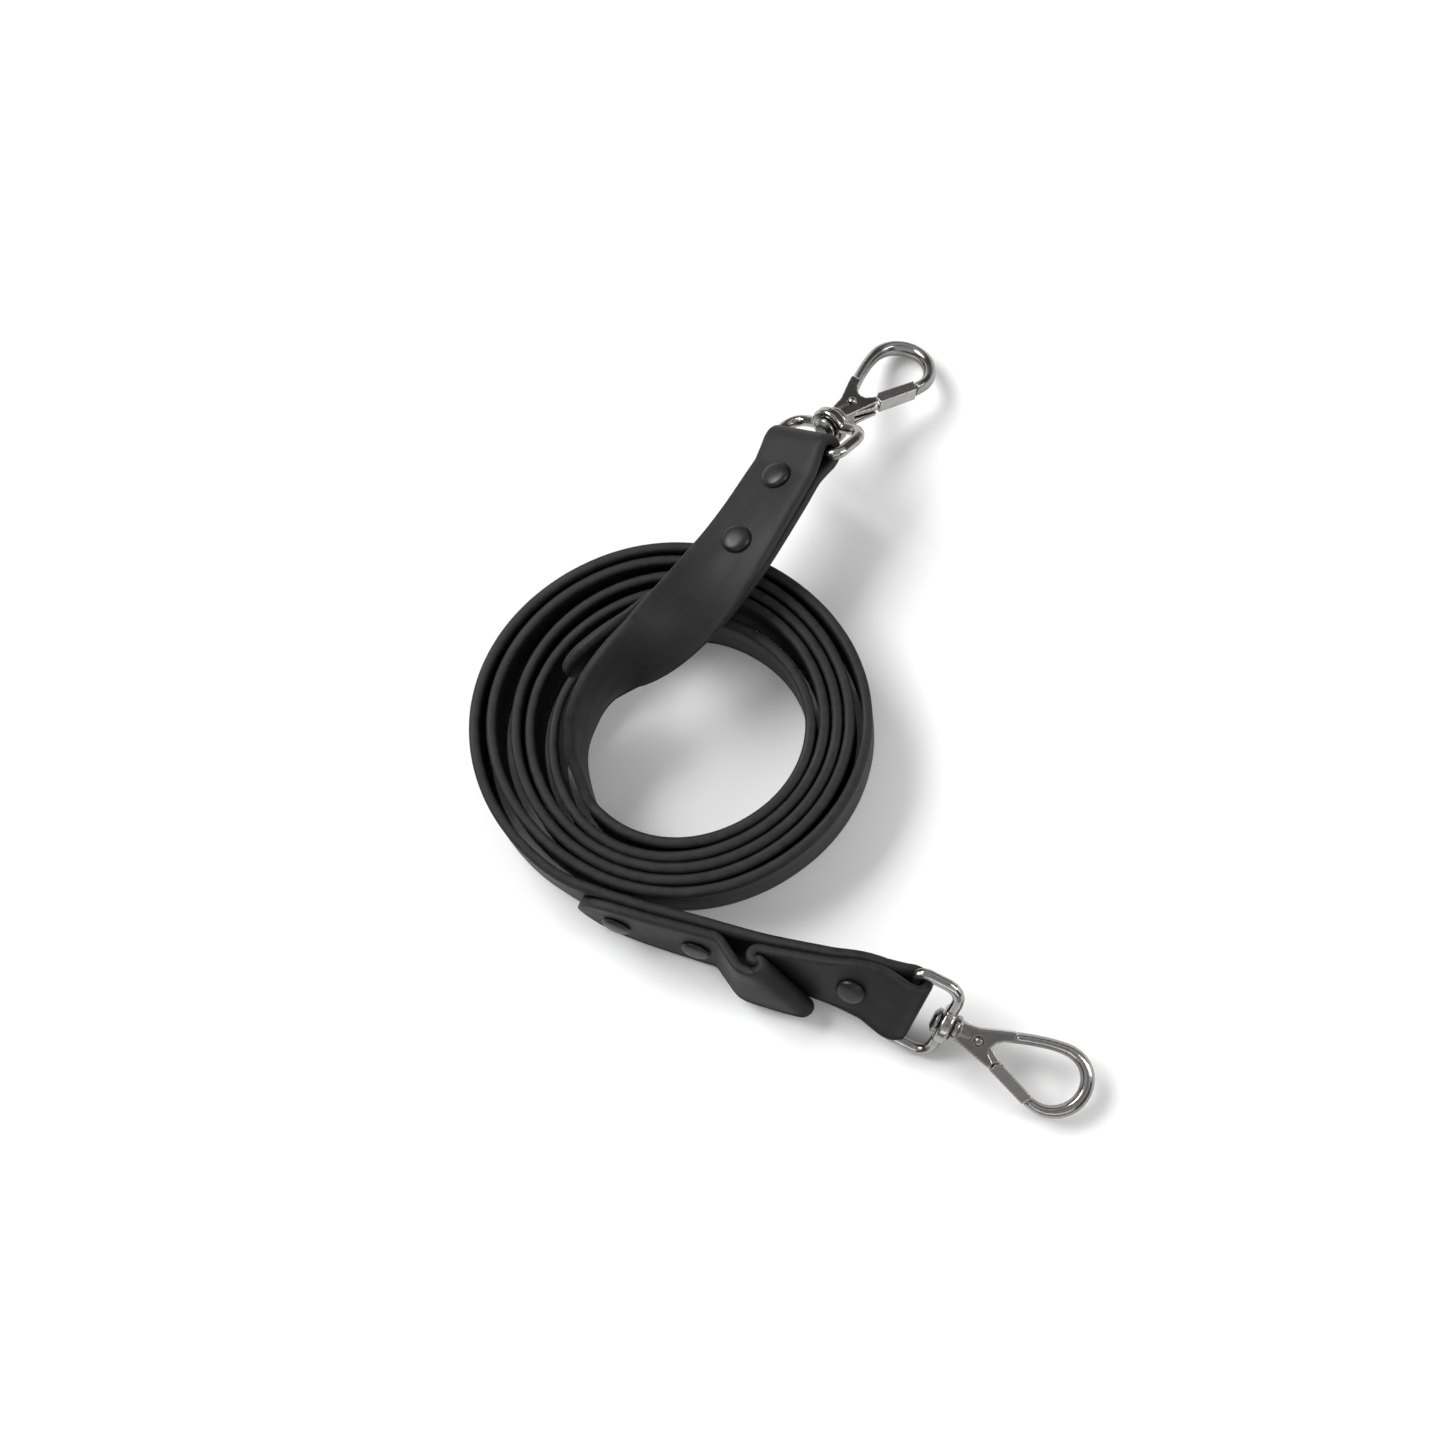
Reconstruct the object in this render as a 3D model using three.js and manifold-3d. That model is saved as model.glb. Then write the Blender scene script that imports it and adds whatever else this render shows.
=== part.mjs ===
// Double-ended training leash: one long coated-webbing strap, wound into a loose oval coil that stands on
// its edge, with a swivel snap hook riveted into each end.
// Millimetres, +Z up. The origin is the bottom centre of the object's box, and the floor is z = 0.
// Routes are given from the middle of the coil, and COIL_CENTRE puts that middle into the part's frame.
import * as THREE from "three";
import { mergeVertices } from "three/addons/utils/BufferGeometryUtils.js";
import Module from "manifold-3d";

const wasm = await Module();
wasm.setup();

// ---------------------------------------------------------------- driving dimensions
const STRAP_WIDTH = 19;
const STRAP_THICK = 2.6;
const GAP = 0.3;
const LAYER = STRAP_THICK + GAP;
const COIL_CENTRE = new THREE.Vector3(-21.9, 18.02, 0.05);

const WIRE_R = 1.5;
const EYE_INNER = 20.6;
const EYE_LENGTH = 11.6;
const EYE_SHOULDER = 4;
const EYE_CORNER = 2.2;
const COLLAR = { from: 10.1, to: 13.1, radius: 5, hole: 2.1 };
const SWIVEL = { head: 3.2, headThick: 1.7, shank: 1.7, end: 17.2 };
const FLANGE = { from: 13.4, to: 15.2, radius: 3.6 };
const NECK_R = 2.8;
const BORE = { radius: 2.1, end: 17.5 };
const PIN = { x: 20.5, radius: 0.8, head: 1.15, headThick: 0.5, hole: 1.1 };
const FORK_DEPTH = 5.2;
const BOW_DEPTH = 4.2;
const GATE_DEPTH = 3.8;
const SLOT = { x: 18.2, top: 2.3, half: 1.75 };
const GATE_ROOT = { low: -1.4, high: -0.1, radius: 2 };
const SPRING = { radius: 1.4, wire: 0.2, low: 0.52, high: 1.22, startAngle: -100, turns: -1.458 };

const RIVET = {
  cap: 3.8, dome: 1.5, reach: 0.5, socket: 1.75, shank: 1.4, head: 3.4, headThick: 0.65, hole: 1.75,
};

// The coil: radius of the strap's middle every 60 degrees of winding, from the outer turn in. The winding
// runs clockwise from WIND_START. It is loose on one side and tight on the other, as a hand winds it.
const WIND_START = 220;
const WIND_STEP = 60;
const TURNS = [
  [47.3, 49.2, 45.9, 46.4, 49.6, 45.0],
  [42.7, 44.9, 42.4, 42.7, 45.2, 41.6],
  [39.6, 38.6, 37.4, 39.4, 42.1, 38.5],
  [36.6, 34.8, 33.1, 36.2, 38.9, 35.4],
  [33.7, 28.4, 25.2, 29.3, 35.5, 32.3],
  [29.2, 23.2],
];

// Lower run, from the eye's crossbar to the coil: x, y, z of the strap's middle, and its lean in degrees
// from upright toward the left of the run.
const LOWER_RUN = [
  [34.9, -83.1, 11.4, -39],
  [27.8, -76.9, 12.9, -34],
  [20.4, -71.6, 12.2, -22],
  [6.5, -62.2, 10.3, -13],
  [-7.6, -52.6, 9.8, -11],
  [-20.4, -43.8, 9.65, -8],
  [-29.6, -36.6, 9.6, -4],
];

// Upper run, from the coil up over its top edges to the other crossbar. It turns from upright to flat.
const UPPER_RUN = [
  [-24.6, -2.2, 13.2, 0],
  [-21.2, 4.4, 18.6, 3],
  [-15.4, 9.6, 25.2, 10],
  [-7.2, 13.6, 29.4, 26],
  [2.4, 17.4, 29.6, 49],
  [13.3, 23.6, 29.0, 77],
  [24.4, 31.6, 28.8, 99],
  [33.8, 39.6, 28.0, 110],
  [43.2, 48.4, 26.8, 115],
  [52.2, 57.2, 25.3, 120],
];

// Tails, as points of [distance from the crossbar, distance from the main layer] on the folded-back side.
const UPPER_TAIL = [[14, LAYER], [32, LAYER], [44, LAYER], [56, 3.2], [66, 4.0], [76, 6.0], [85, 9.4]];
const LOWER_TAIL = [
  [13, LAYER],
  [24, LAYER],
  [32, LAYER],
  ...bend([36.4, 4.55], 1.6, -90, 90),
  [33.4, 6.15],
  ...bend([30, 7.8], 1.65, -90, -270),
  [34.5, 9.45],
  [39.6, 8.9],
  [43.6, 6],
  [47.6, LAYER + 0.15],
  [52, LAYER + 0.02],
  [60, LAYER],
  [84, LAYER],
];
// The flattened loop's visible bend runs aslant. Its two edges lie this far to either side of the middle;
// the slant fades between these distances from the crossbar, and applies to the layers above `above`.
const LOOP_SLANT = { amount: 6, full: 29.6, none: 36.6, above: 5 };

// Each end's hook points along `yaw` and `pitch`, with its spine turned by `roll` from level and to the left.
const ENDS = {
  upper: {
    atStart: false,
    yaw: 31.5,
    pitch: -24.7,
    roll: -9.4,
    tail: UPPER_TAIL,
    rivets: [11, 31],
    capOnTail: false,
  },
  lower: {
    atStart: true,
    yaw: -43.2,
    pitch: -9,
    roll: 10.6,
    tail: LOWER_TAIL,
    rivets: [12.5, 52.8, 73.5],
    capOnTail: true,
  },
};

// Steps between the strap's cross-sections.
const COIL_STEP = 5.2;
const TAIL_STEP = 4;
const FOLD_START = 7.5;
const FOLD_RADIUS = WIRE_R + 2 * GAP + STRAP_THICK / 2;
const FOLD_REACH = 102;
const FOLD_STEP = 34;

const UP = new THREE.Vector3(0, 0, 1);
const rad = THREE.MathUtils.degToRad;

const RUBBER = { color: 0x2b2b2c, roughness: 0.55, metalness: 0 };
const RIVET_PAINT = { color: 0x232324, roughness: 0.45, metalness: 0.4 };
const STEEL = { color: 0xb4b1ae, roughness: 0.28, metalness: 1 };

// ---------------------------------------------------------------- geometry helpers
// Points on an arc in a plane, from one angle to another in degrees.
function bend([cx, cy], radius, from, to, step = 30) {
  const count = Math.max(2, Math.round(Math.abs(to - from) / step));
  return Array.from({ length: count + 1 }, (_, i) => {
    const a = THREE.MathUtils.degToRad(from + ((to - from) * i) / count);
    return [cx + radius * Math.cos(a), cy + radius * Math.sin(a)];
  });
}

// A closed body from rings of points. An open loft gets flat ends, a closed one joins up with itself.
function loft(rings, closed = false) {
  const sides = rings[0].length;
  const index = [];
  const joins = closed ? rings.length : rings.length - 1;
  for (let i = 0; i < joins; i++) {
    const a = i * sides;
    const b = ((i + 1) % rings.length) * sides;
    for (let j = 0; j < sides; j++) {
      const k = (j + 1) % sides;
      index.push(a + j, a + k, b + k, a + j, b + k, b + j);
    }
  }
  const last = (rings.length - 1) * sides;
  for (let j = 1; j < sides - 1 && !closed; j++) {
    index.push(0, j + 1, j, last, last + j, last + j + 1);
  }
  return facingOut(new THREE.BufferGeometry().setFromPoints(rings.flat()).setIndex(index));
}

// The same body with its faces wound so that they point outwards.
function facingOut(geometry) {
  const { index, attributes } = geometry;
  const corner = (i) => new THREE.Vector3().fromBufferAttribute(attributes.position, index.getX(i));
  let volume = 0;
  for (let i = 0; i < index.count; i += 3) {
    volume += corner(i).dot(corner(i + 1).cross(corner(i + 2)));
  }
  if (volume > 0) return geometry;
  const all = index.array;
  const flipped = Array.from(all, (_, i) => all[i % 3 === 0 ? i : i + 3 - 2 * (i % 3)]);
  return geometry.setIndex(flipped);
}

// A wire or bar swept along points in the XY plane: [x, y, width in the plane].
function planarSweep(path, depth, sides, closed = false) {
  const rings = path.map(([x, y, width], i) => {
    const before = path[closed ? (i + path.length - 1) % path.length : Math.max(0, i - 1)];
    const after = path[closed ? (i + 1) % path.length : Math.min(path.length - 1, i + 1)];
    const along = new THREE.Vector2(after[0] - before[0], after[1] - before[1]).normalize();
    return roundSection(sides).map(([u, v]) => {
      const across = (u * width) / 2;
      return new THREE.Vector3(x - along.y * across, y + along.x * across, (v * depth) / 2);
    });
  });
  return loft(rings, closed);
}

// A rounded section with flats on its four sides, in the unit square.
function roundSection(sides) {
  return Array.from({ length: sides }, (_, i) => {
    const a = (2 * Math.PI * (i + 0.5)) / sides;
    const reach = 1 / Math.cos(Math.PI / sides);
    return [Math.cos(a) * reach, Math.sin(a) * reach];
  });
}

// A turned piece: [distance along X, radius] pairs turned about X.
function turned(profile, segments = 20) {
  const points = profile.map(([x, r]) => new THREE.Vector2(r, x));
  return facingOut(new THREE.LatheGeometry(points, segments).rotateZ(-Math.PI / 2));
}

function plate(outline, low, high) {
  const shape = new THREE.Shape(outline.map(([x, y]) => new THREE.Vector2(x, y)));
  const geometry = new THREE.ExtrudeGeometry(shape, { depth: high - low, bevelEnabled: false });
  return geometry.translate(0, 0, low);
}

function box([x0, y0, z0], [x1, y1, z1]) {
  const geometry = new THREE.BoxGeometry(x1 - x0, y1 - y0, z1 - z0);
  return geometry.translate((x0 + x1) / 2, (y0 + y1) / 2, (z0 + z1) / 2);
}

function rod(radius, length, segments = 20) {
  return new THREE.CylinderGeometry(radius, radius, length, segments);
}

function solid(geometry) {
  const bare = (geometry.index ? geometry.toNonIndexed() : geometry.clone());
  bare.deleteAttribute("normal");
  bare.deleteAttribute("uv");
  const merged = mergeVertices(bare, 1e-4);
  const mesh = new wasm.Mesh({
    numProp: 3,
    vertProperties: merged.attributes.position.array,
    triVerts: new Uint32Array(merged.index.array),
  });
  return new wasm.Manifold(mesh);
}

function geometryOf(manifold) {
  const mesh = manifold.getMesh();
  const geometry = new THREE.BufferGeometry();
  geometry.setAttribute("position", new THREE.BufferAttribute(mesh.vertProperties, 3));
  geometry.setIndex(new THREE.BufferAttribute(mesh.triVerts, 1));
  return geometry;
}

function join(parts, cuts = []) {
  const whole = parts.map(solid).reduce((sum, part) => sum.add(part));
  return geometryOf(cuts.map(solid).reduce((rest, cut) => rest.subtract(cut), whole));
}

function named(name, geometry, finish) {
  const mesh = new THREE.Mesh(geometry, new THREE.MeshStandardMaterial(finish));
  mesh.name = name;
  return mesh;
}

function framed(origin, x, y) {
  const group = new THREE.Group();
  group.quaternion.setFromRotationMatrix(new THREE.Matrix4().makeBasis(x, y, x.clone().cross(y)));
  group.position.copy(origin);
  return group;
}

// A smooth curve through plain numbers, held in x.
function numberCurve(values) {
  return new THREE.CatmullRomCurve3(values.map((v) => new THREE.Vector3(v, 0, 0)), false, "catmullrom");
}

// ---------------------------------------------------------------- the strap's main layer
function coilStations() {
  const radii = numberCurve(TURNS.flat());
  const spans = TURNS.flat().length - 1;
  const count = spans * 5;
  return Array.from({ length: count + 1 }, (_, i) => {
    const radius = radii.getPoint(i / count).x;
    const angle = rad(WIND_START - (WIND_STEP * spans * i) / count);
    return [radius * Math.cos(angle), radius * Math.sin(angle), STRAP_WIDTH / 2, 0];
  });
}

function mainLayer() {
  const stations = [...LOWER_RUN, ...coilStations().slice(0, -4), ...UPPER_RUN];
  const points = stations.map(([x, y, z]) => new THREE.Vector3(x, y, z).add(COIL_CENTRE));
  const curve = new THREE.CatmullRomCurve3(points, false, "centripetal");
  curve.arcLengthDivisions = points.length * 40;
  const leans = numberCurve(stations.map((s) => s[3]));
  const length = curve.getLength();
  const frameAt = (distance) => {
    const inside = THREE.MathUtils.clamp(distance, 0, length);
    const t = curve.getUtoTmapping(inside / length);
    const along = curve.getTangent(t);
    const left = UP.clone().cross(along).normalize();
    const lean = rad(leans.getPoint(t).x);
    const upright = along.clone().cross(left);
    const width = upright.multiplyScalar(Math.cos(lean)).addScaledVector(left, Math.sin(lean)).normalize();
    const at = curve.getPoint(t).addScaledVector(along, distance - inside);
    return { at, along, width, face: along.clone().cross(width) };
  };
  return { length, frameAt };
}

const MAIN = mainLayer();

// The frame at a distance from one end's crossbar, looking away from the hook.
function endFrame(end, distance) {
  return MAIN.frameAt(end.atStart ? distance : MAIN.length - distance);
}

// A point beside the main layer: `off` is measured toward the folded-back side.
function beside(end, distance, off) {
  const { at, face } = endFrame(end, distance);
  return at.addScaledVector(face, -off);
}

// ---------------------------------------------------------------- folds and tails
function foldAndTail(end) {
  const centre = [0, LAYER / 2];
  const fold = bend(centre, FOLD_RADIUS, 180 + FOLD_REACH, 180 - FOLD_REACH, FOLD_STEP);
  const points = [[FOLD_START, 0], [4, -0.9], ...fold, [4, LAYER + 0.9], [FOLD_START, LAYER], ...end.tail];
  return resample(points, TAIL_STEP);
}

// Evenly spaced points on a smooth line through [distance, offset] points, closer together in tight bends.
function resample(points, step) {
  const placed = points.map(([s, n]) => new THREE.Vector3(s, n, 0));
  const curve = new THREE.CatmullRomCurve3(placed, false, "centripetal");
  curve.arcLengthDivisions = points.length * 30;
  const length = curve.getLength();
  const stations = [];
  let travelled = 0;
  while (travelled < length - STRAP_WIDTH / 2) {
    const p = curve.getPointAt(travelled / length);
    stations.push({ s: p.x, n: p.y, left: length - travelled });
    const here = curve.getTangentAt(travelled / length);
    const next = curve.getTangentAt(Math.min(1, (travelled + step / 2) / length));
    travelled += here.angleTo(next) > 0.25 ? step / 3 : step;
  }
  const tip = [1, 0.8, 0.6, 0.4, 0.24, 0.12, 0.04, 0.005].map((share) => (share * STRAP_WIDTH) / 2);
  for (const left of tip) {
    const p = curve.getPointAt(1 - left / length);
    stations.push({ s: p.x, n: p.y, left });
  }
  return stations;
}

function slantAt(end, s, n) {
  if (end.tail !== LOWER_TAIL || n < LOOP_SLANT.above) return 0;
  const share = (LOOP_SLANT.none - s) / (LOOP_SLANT.none - LOOP_SLANT.full);
  return LOOP_SLANT.amount * THREE.MathUtils.clamp(share, 0, 1);
}

// One end's cross-sections: the strap's two edges at each station, out to the rounded tip.
function endSections(end) {
  return foldAndTail(end).map(({ s, n, left }) => {
    const reach = Math.min(left, STRAP_WIDTH / 2);
    const half = Math.sqrt(Math.max(0.02, reach * (STRAP_WIDTH - reach)));
    const slant = slantAt(end, s, n);
    const { width } = endFrame(end, s);
    return {
      top: beside(end, s + slant, n).addScaledVector(width, half),
      bottom: beside(end, s - slant, n).addScaledVector(width, -half),
    };
  });
}

function mainSections() {
  const from = FOLD_START + COIL_STEP;
  const count = Math.round((MAIN.length - 2 * from) / COIL_STEP);
  return Array.from({ length: count + 1 }, (_, i) => {
    const { at, width } = MAIN.frameAt(from + ((MAIN.length - 2 * from) * i) / count);
    const half = STRAP_WIDTH / 2;
    return { top: at.clone().addScaledVector(width, half), bottom: at.clone().addScaledVector(width, -half) };
  });
}

function strapBody() {
  const sections = [...endSections(ENDS.lower).reverse(), ...mainSections(), ...endSections(ENDS.upper)];
  const rings = sections.map(({ top, bottom }, i) => {
    const before = sections[Math.max(0, i - 1)];
    const after = sections[Math.min(sections.length - 1, i + 1)];
    const across = top.clone().sub(bottom).normalize();
    const faceAt = (edge) => {
      const along = after[edge].clone().sub(before[edge]);
      return along.cross(across).setLength(STRAP_THICK / 2);
    };
    const [up, down] = [faceAt("top"), faceAt("bottom")];
    return [top.clone().add(up), top.clone().sub(up), bottom.clone().sub(down), bottom.clone().add(down)];
  });
  return loft(rings);
}

function strap() {
  const holes = Object.values(ENDS).flatMap((end) =>
    end.rivets.map((distance) => {
      const seat = rivetSeat(end, distance);
      const cut = rod(RIVET.hole, 4 * LAYER).rotateZ(-Math.PI / 2).translate(LAYER / 2, 0, 0);
      seat.updateMatrixWorld(true);
      return cut.applyMatrix4(seat.matrixWorld);
    }),
  );
  return named("strap", join([strapBody()], holes), RUBBER);
}

// ---------------------------------------------------------------- rivets
// A rivet's frame: X runs through the layers from the main layer's middle toward the tail.
function rivetSeat(end, distance) {
  const { at, width, face } = endFrame(end, distance);
  return framed(at, face.clone().negate(), width);
}

function rivet(name, end, distance) {
  const seat = rivetSeat(end, distance);
  const near = -STRAP_THICK / 2;
  const far = LAYER + STRAP_THICK / 2;
  const body = new THREE.Group();
  if (!end.capOnTail) {
    body.rotation.y = Math.PI;
    body.position.x = near + far;
  }
  const foot = near - GAP;
  const brim = far + GAP;
  const tip = brim + RIVET.reach;
  const stud = turned([
    [foot - RIVET.headThick, 0],
    [foot - RIVET.headThick, RIVET.head * 0.72],
    [foot - RIVET.headThick * 0.6, RIVET.head],
    [foot, RIVET.head],
    [foot, RIVET.shank],
    [tip, RIVET.shank],
    [tip, 0],
  ]);
  const cap = turned([
    [tip + GAP, 0],
    [tip + GAP, RIVET.socket],
    [brim, RIVET.socket],
    [brim, RIVET.cap],
    [brim + RIVET.dome * 0.3, RIVET.cap],
    [brim + RIVET.dome * 0.72, RIVET.cap * 0.78],
    [brim + RIVET.dome * 0.94, RIVET.cap * 0.42],
    [brim + RIVET.dome, 0],
  ]);
  body.add(named(`${name}_cap`, cap, RIVET_PAINT), named(`${name}_stud`, stud, RIVET_PAINT));
  seat.add(body);
  return seat;
}

// ---------------------------------------------------------------- swivel snap hook
// Each hook is drawn with its crossbar's middle at the origin and its long axis along X.
function eye() {
  const side = EYE_INNER / 2 + WIRE_R;
  const outline = [
    ...bend([EYE_CORNER, side - EYE_CORNER], EYE_CORNER, 180, 90),
    ...bend([EYE_LENGTH - EYE_SHOULDER, side - EYE_SHOULDER], EYE_SHOULDER, 90, 0, 22.5),
    ...bend([EYE_LENGTH - EYE_SHOULDER, EYE_SHOULDER - side], EYE_SHOULDER, 0, -90, 22.5),
    ...bend([EYE_CORNER, EYE_CORNER - side], EYE_CORNER, -90, -180),
  ];
  const loop = planarSweep(outline.map(([x, y]) => [x, y, 2 * WIRE_R]), 2 * WIRE_R, 10, true);
  const { from, to, radius, hole } = COLLAR;
  const bevel = 0.5;
  const collar = turned([
    [from, 0],
    [from, radius - bevel],
    [from + bevel, radius],
    [to - bevel, radius],
    [to, radius - bevel],
    [to, 0],
  ], 28);
  const bore = rod(hole, 6, 24).rotateZ(-Math.PI / 2).translate((from + to) / 2, 0, 0);
  return join([loop, collar], [bore]);
}

function swivelPin() {
  const seat = COLLAR.from - GAP;
  const { head, headThick, shank, end } = SWIVEL;
  return turned([
    [seat - headThick, 0],
    [seat - headThick, head * 0.6],
    [seat - headThick * 0.5, head],
    [seat, head],
    [seat, shank],
    [end, shank],
    [end, 0],
  ]);
}

// The bow's middle line and width, from the spine's root round the far end to the nose.
const BOW = [
  [24.6, 3.2, 2.4],
  [28.4, 4.7, 2.8],
  [33, 6.2, 2.8],
  [38, 7.4, 2.9],
  [42.4, 7.7, 3.2],
  [46, 6.4, 3.4],
  [48.4, 3.6, 3.5],
  [49.2, 0, 3.5],
  [48.2, -3.8, 3.5],
  [45.4, -6.8, 3.3],
  [41.6, -8.2, 3],
  [36, -7.4, 2.5],
];
const FORK = [
  [15, 2.3],
  [19.5, 2.9],
  [25.2, 5.1],
  [28.2, 6.1],
  [28.6, 3.4],
  [26.2, 2.6],
  [24.6, 1.3],
  [23.8, -0.1],
  [24, -1.7],
  [26.2, -3.4],
  [25.4, -4.9],
  [18.4, -3.2],
  [15, -2.3],
];
// The slanted joint between nose and gate, from its inner to its outer end.
const JOINT = { inner: [38.9, -6.3], outer: [36.8, -9.3] };
const JOINT_REACH = 4;

function smoothPath(points, count) {
  const curve = new THREE.CatmullRomCurve3(points.map(([x, y, w]) => new THREE.Vector3(x, y, w)));
  return curve.getSpacedPoints(count).map((p) => [p.x, p.y, p.z]);
}

// Everything on the gate's side of the joint line, moved by `shift` toward the gate.
function jointSide(shift, towardGate) {
  const inner = new THREE.Vector2(...JOINT.inner);
  const along = new THREE.Vector2(...JOINT.outer).sub(inner).normalize();
  const out = new THREE.Vector2(along.y, -along.x).multiplyScalar(towardGate ? 1 : -1);
  const from = inner.clone().addScaledVector(along, -JOINT_REACH).addScaledVector(out, shift);
  const to = inner.clone().addScaledVector(along, 2 * JOINT_REACH).addScaledVector(out, shift);
  const far = 2.2 * JOINT_REACH;
  const corners = [from, to, to.clone().addScaledVector(out, far), from.clone().addScaledVector(out, far)];
  return plate(corners.map((c) => [c.x, c.y]), -FORK_DEPTH, FORK_DEPTH);
}

function hookBody() {
  const half = FORK_DEPTH / 2;
  const neck = turned([
    [FLANGE.from, 0],
    [FLANGE.from, FLANGE.radius - 0.4],
    [FLANGE.from + 0.4, FLANGE.radius],
    [FLANGE.to - 0.4, FLANGE.radius],
    [FLANGE.to, NECK_R],
    [SLOT.x, NECK_R - 0.1],
    [SLOT.x, 0],
  ]);
  const bow = planarSweep(smoothPath(BOW, 34), BOW_DEPTH, 10);
  const bore = rod(BORE.radius, 2 * (BORE.end - FLANGE.from), 24).rotateZ(-Math.PI / 2);
  const slot = box([SLOT.x, -8, -SLOT.half], [30, SLOT.top, SLOT.half]);
  const pinHole = rod(PIN.hole, 4 * half).rotateX(Math.PI / 2).translate(PIN.x, 0, 0);
  const cuts = [bore.translate(FLANGE.from, 0, 0), slot, pinHole, jointSide(0, true)];
  const wedge = join([neck, plate(FORK, -half, half)], cuts.slice(0, 3));
  return geometryOf(solid(wedge).add(solid(bow).subtract(solid(cuts[3])).subtract(solid(slot))));
}

const GATE_BAR = [[26.7, -3.2], [28.4, -2.5], [42, -7.8], [40, -10.2], [26, -5.2]];

function gate() {
  const half = GATE_DEPTH / 2;
  const { low, high, radius } = GATE_ROOT;
  const bar = solid(plate(GATE_BAR, -half, half)).subtract(solid(jointSide(-GAP, false)));
  const ear = [
    ...bend([PIN.x, 0], radius, 70, 240),
    [26.4, -4.9],
    [28, -2.6],
  ];
  const hole = rod(PIN.hole, 2 * FORK_DEPTH).rotateX(Math.PI / 2).translate(PIN.x, 0, 0);
  return geometryOf(bar.add(solid(plate(ear, low, high))).subtract(solid(hole)));
}

function gatePin() {
  const top = FORK_DEPTH / 2 + GAP;
  const { radius, head, headThick } = PIN;
  const profile = [
    [-top - headThick, 0],
    [-top - headThick, head * 0.5],
    [-top, head],
    [-top, radius],
    [top, radius],
    [top, head],
    [top + headThick, head * 0.5],
    [top + headThick, 0],
  ];
  return turned(profile, 16).rotateY(-Math.PI / 2).translate(PIN.x, 0, 0);
}

// A torsion spring round the gate pin: one leg lies over the gate's root, the other against the spine.
function spring() {
  const { radius, wire, low, high, startAngle, turns } = SPRING;
  const steps = 26;
  const helix = Array.from({ length: steps + 1 }, (_, i) => {
    const a = rad(startAngle + (360 * turns * i) / steps);
    const z = low + ((high - low) * i) / steps;
    return new THREE.Vector3(PIN.x + radius * Math.cos(a), radius * Math.sin(a), z);
  });
  const gateLeg = new THREE.Vector3(25.4, -2.9, low);
  const spineLeg = new THREE.Vector3(24.4, 1.7, high);
  const path = [gateLeg, ...helix, spineLeg];
  const rings = path.map((p, i) => {
    const along = path[Math.min(path.length - 1, i + 1)].clone().sub(path[Math.max(0, i - 1)]).normalize();
    const out = along.clone().cross(UP).normalize();
    const lift = out.clone().cross(along);
    return roundSection(6).map(([u, v]) =>
      p.clone().addScaledVector(out, u * wire).addScaledVector(lift, v * wire));
  });
  return loft(rings);
}

function snapHook(name, end) {
  const turn = new THREE.Euler(0, rad(-end.pitch), rad(end.yaw), "ZYX");
  const axis = new THREE.Vector3(1, 0, 0).applyEuler(turn);
  const level = UP.clone().cross(axis).normalize();
  const origin = beside(end, 0, LAYER / 2);
  const crossbar = endFrame(end, 0).width.projectOnPlane(axis).normalize();
  const eyeFrame = framed(origin, axis, crossbar);
  const bodyFrame = framed(origin, axis, level.clone().applyAxisAngle(axis, rad(end.roll)));
  eyeFrame.add(named(`${name}_eye`, eye(), STEEL));
  bodyFrame.add(
    named(`${name}_swivel_pin`, swivelPin(), STEEL),
    named(`${name}_hook_body`, hookBody(), STEEL),
    named(`${name}_gate`, gate(), STEEL),
    named(`${name}_gate_pin`, gatePin(), STEEL),
    named(`${name}_gate_spring`, spring(), STEEL),
  );
  return [eyeFrame, bodyFrame];
}

// ---------------------------------------------------------------- assembly
const leash = new THREE.Group();
leash.add(strap());
for (const [name, end] of Object.entries(ENDS)) {
  leash.add(...snapHook(name, end));
  end.rivets.forEach((distance, i) => leash.add(rivet(`${name}_rivet_${i + 1}`, end, distance)));
}

export default leash;
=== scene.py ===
"""A training leash: a coated-webbing strap wound on its edge, five rivets and two swivel snap hooks.

The route of the strap repeats part.mjs. Tables are in millimetres, as there, and MM turns them into metres.
"""
import math

import bmesh
import bpy
import numpy as np
from mathutils import Matrix, Vector


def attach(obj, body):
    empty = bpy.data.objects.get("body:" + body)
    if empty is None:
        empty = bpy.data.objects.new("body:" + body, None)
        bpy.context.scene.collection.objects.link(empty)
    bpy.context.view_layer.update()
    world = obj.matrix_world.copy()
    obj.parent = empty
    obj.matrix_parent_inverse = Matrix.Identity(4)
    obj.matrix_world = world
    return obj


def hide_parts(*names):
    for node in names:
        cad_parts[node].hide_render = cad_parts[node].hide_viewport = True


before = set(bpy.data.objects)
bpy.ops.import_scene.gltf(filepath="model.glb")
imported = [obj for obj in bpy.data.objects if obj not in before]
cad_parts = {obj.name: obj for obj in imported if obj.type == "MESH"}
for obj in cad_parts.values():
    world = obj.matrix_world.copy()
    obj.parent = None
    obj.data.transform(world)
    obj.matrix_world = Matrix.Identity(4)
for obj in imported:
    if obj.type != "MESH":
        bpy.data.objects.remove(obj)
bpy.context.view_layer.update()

MM = 0.001

# ---------------------------------------------------------------- the strap's route, as in part.mjs
STRAP_WIDTH = 19.0
STRAP_THICK = 2.6
GAP = 0.3
LAYER = STRAP_THICK + GAP
COIL_CENTRE = np.array([-21.9, 18.02, 0.05])
WIRE_R = 1.5

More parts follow.
